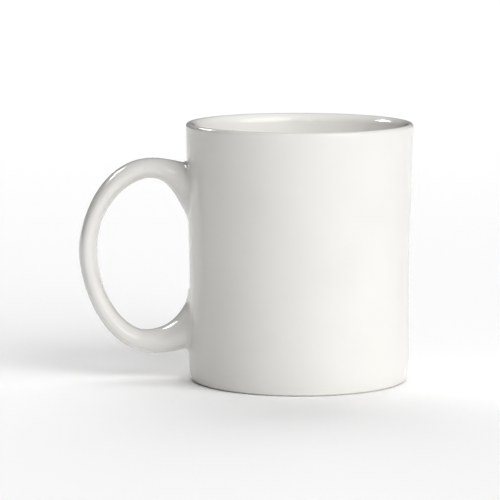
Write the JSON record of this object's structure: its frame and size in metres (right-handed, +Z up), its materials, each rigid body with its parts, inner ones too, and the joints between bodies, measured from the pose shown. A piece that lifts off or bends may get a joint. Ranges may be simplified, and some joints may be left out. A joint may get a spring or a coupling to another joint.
{
  "type": "mug",
  "caption": "White glazed ceramic mug: straight cup with a slight waist, full-round lip, dry foot ring and an oval loop handle that flares into the wall.",
  "frame": {"origin": "on the table plane, under the middle of the mug's whole outline, handle included; the cup's own axis stands 19.4 mm from it along +X", "axes": "+Z up out of the cup's mouth; the handle points along -X; +Y across the handle's width, with the front of the mug at -Y"},
  "size_m": [0.1208, 0.082, 0.0932],
  "materials": {
    "fired_clay": "bare fired stoneware, matt and finely sanded",
    "joining_slip": "bare fired slip, matt",
    "white_glaze": "smooth high-gloss white glaze"
  },
  "bodies": {
    "root": {"cup_body": "fired_clay", "handle": "fired_clay", "upper_slip_joint": "joining_slip", "lower_slip_joint": "joining_slip", "outside_glaze": "white_glaze", "inside_glaze": "white_glaze", "handle_glaze": "white_glaze", "recess_glaze": "white_glaze"}
  },
  "joints": []
}
